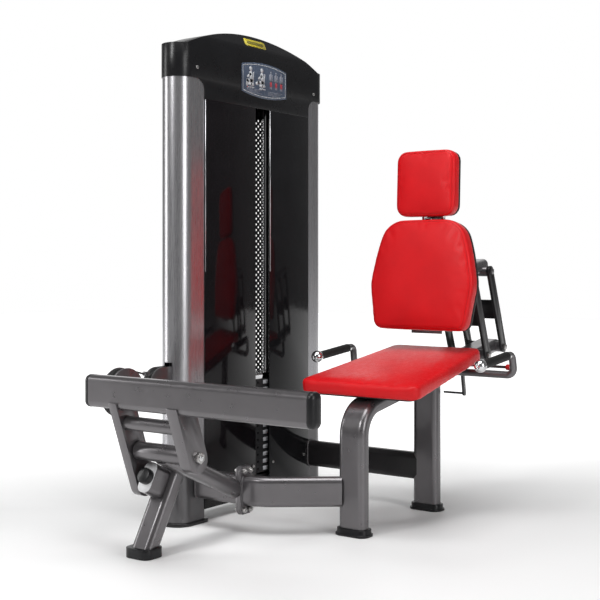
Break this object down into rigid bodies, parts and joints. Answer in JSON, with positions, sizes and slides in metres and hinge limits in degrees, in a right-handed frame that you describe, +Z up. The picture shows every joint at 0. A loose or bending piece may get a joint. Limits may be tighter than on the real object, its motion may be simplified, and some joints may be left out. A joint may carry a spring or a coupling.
{
  "type": "leg extension machine",
  "caption": "Seated lower-leg press machine: a padded seat faces a swinging foot bar, which lifts a pinned weight stack in a tall shrouded tower through a cable.",
  "frame": {"origin": "on the floor under the middle of the front seat foot", "axes": "+X is the sitter's left, across the machine; +Y points behind the sitter; +Z is up"},
  "size_m": [0.998, 1.6928, 1.7349],
  "materials": {
    "silver_paint": "satin metallic silver-grey paint",
    "silver_dark": "satin metallic grey paint",
    "column_silver": "brushed silver extrusion",
    "black_paint": "satin black paint",
    "hood_black": "satin moulded black",
    "placard": "printed slate-blue sheet",
    "smoked": "smoked gloss panel",
    "dark_panel": "dark satin panel",
    "guard_black": "satin black perforated steel",
    "screw_steel": "zinc plated",
    "rod_chrome": "hard chrome",
    "rubber_black": "black rubber",
    "weight_iron": "black painted iron",
    "pin_red": "red plastic knob and steel pin",
    "pulley_black": "black nylon",
    "bush_brass": "sintered bronze",
    "cable_black": "nylon coated wire rope",
    "board_black": "black painted board",
    "upholstery_red": "red artificial leather",
    "grip_black": "ribbed black rubber",
    "ball_chrome": "polished",
    "lever_grey": "satin dark grey paint, with a red grip"
  },
  "bodies": {
    "frame": {"front_column": "column_silver", "rear_column": "column_silver", "column_feet": "silver_dark", "base_plates": "black_paint", "tower_base": "black_paint", "top_beam": "black_paint", "hood": "hood_black", "placard": "placard", "smoked_shield": "smoked", "dark_shield": "dark_panel", "perforated_guard": "guard_black", "frame_fasteners": "screw_steel", "guide_rods": "rod_chrome", "stack_cushions": "rubber_black", "resting_weights": "weight_iron", "main_tube": "silver_paint", "flange_plates": "silver_paint", "curved_tube": "silver_paint", "seat_frame": "silver_paint", "lever_bracket": "silver_dark", "rear_leg": "silver_paint", "rear_cross_tube": "black_paint", "support_arm": "silver_paint", "slanted_leg": "silver_paint", "pivot_housing": "silver_paint", "pivot_bushes": "bush_brass", "bumper_block": "silver_paint", "bumper": "rubber_black", "rubber_feet": "rubber_black", "column_bracket": "silver_dark", "front_cable": "cable_black", "tower_cable": "cable_black", "stack_cable": "cable_black", "seat_board": "board_black", "seat_pad": "upholstery_red", "handle_tube": "silver_paint", "hand_grips": "grip_black", "ball_ends": "ball_chrome", "link_pins": "screw_steel"},
    "foot_bar_arm": {"foot_bar": "silver_paint", "bar_caps": "rubber_black", "left_arm": "silver_paint", "right_arm": "silver_paint", "arm_cross_tube": "silver_paint", "pivot_shaft": "rod_chrome", "pivot_nuts": "screw_steel", "pulley_outrigger": "silver_paint"},
    "arm_pulley": {"arm_pulley": "pulley_black"},
    "column_pulley": {"column_pulley": "pulley_black"},
    "top_front_pulley": {"top_front_pulley": "pulley_black"},
    "top_rear_pulley": {"top_rear_pulley": "pulley_black"},
    "lifted_stack": {"lifted_weights": "weight_iron", "selector_rod": "rod_chrome"},
    "selector_pin": {"selector_pin": "pin_red"},
    "front_links": {"front_links": "black_paint"},
    "rear_links": {"rear_links": "black_paint"},
    "backrest": {"back_frame": "silver_paint", "back_cushions": "upholstery_red", "headrest_posts": "rod_chrome"},
    "release_lever": {"release_lever": "lever_grey"}
  },
  "joints": [
    {"name": "footbar_swing", "type": "hinge", "parent": "frame", "child": "foot_bar_arm", "pos_m": [-0.3, -0.601, 0.322], "axis": [1, 0, 0], "range_deg": [0, 45], "deforming": ["front_cable"]},
    {"name": "arm_pulley_spin", "type": "hinge", "parent": "foot_bar_arm", "child": "arm_pulley", "pos_m": [-0.58, -0.49, 0.478], "axis": [1, 0, 0], "range_deg": [-220, 0]},
    {"name": "column_pulley_spin", "type": "hinge", "parent": "frame", "child": "column_pulley", "pos_m": [-0.58, -0.318, 0.485], "axis": [1, 0, 0], "range_deg": [-283.8, 0]},
    {"name": "top_front_pulley_spin", "type": "hinge", "parent": "frame", "child": "top_front_pulley", "pos_m": [-0.58, -0.2114, 1.592], "axis": [1, 0, 0], "range_deg": [0, 342.4]},
    {"name": "top_rear_pulley_spin", "type": "hinge", "parent": "frame", "child": "top_rear_pulley", "pos_m": [-0.58, 0.1217, 1.592], "axis": [1, 0, 0], "range_deg": [0, 342.4]},
    {"name": "stack_lift", "type": "slide", "parent": "frame", "child": "lifted_stack", "axis": [0, 0, 1], "range_m": [0, 0.2898], "deforming": ["stack_cable"]},
    {"name": "pin_pull", "type": "slide", "parent": "lifted_stack", "child": "selector_pin", "axis": [1, 0, 0], "range_m": [0, 0.07]},
    {"name": "backrest_adjust", "type": "hinge", "parent": "frame", "child": "front_links", "pos_m": [0, 0.826, 0.54532], "axis": [-1, 0, 0], "range_deg": [-4, 30]},
    {"name": "backrest_pivot", "type": "hinge", "parent": "front_links", "child": "backrest", "pos_m": [0, 0.71, 0.84532], "axis": [-1, 0, 0], "range_deg": [-31, 5]},
    {"name": "rear_link_pivot", "type": "hinge", "parent": "frame", "child": "rear_links", "pos_m": [0, 0.965, 0.56833], "axis": [-1, 0, 0], "range_deg": [-5, 31]},
    {"name": "release_lever_turn", "type": "hinge", "parent": "frame", "child": "release_lever", "pos_m": [0.1, 0.554, 0.529], "axis": [1, 0, 0], "range_deg": [0, 15], "stiffness_Nm_per_rad": 2}
  ],
  "couplings": [
    {"joint": "arm_pulley_spin", "follows": "footbar_swing", "ratio": -4.866},
    {"joint": "column_pulley_spin", "follows": "footbar_swing", "ratio": -6.285},
    {"joint": "top_front_pulley_spin", "follows": "footbar_swing", "ratio": 7.586},
    {"joint": "top_rear_pulley_spin", "follows": "footbar_swing", "ratio": 7.586},
    {"joint": "stack_lift", "follows": "footbar_swing", "m_per_rad": 0.3664},
    {"joint": "backrest_pivot", "follows": "backrest_adjust", "ratio": -1},
    {"joint": "rear_link_pivot", "follows": "backrest_adjust", "ratio": 1}
  ]
}
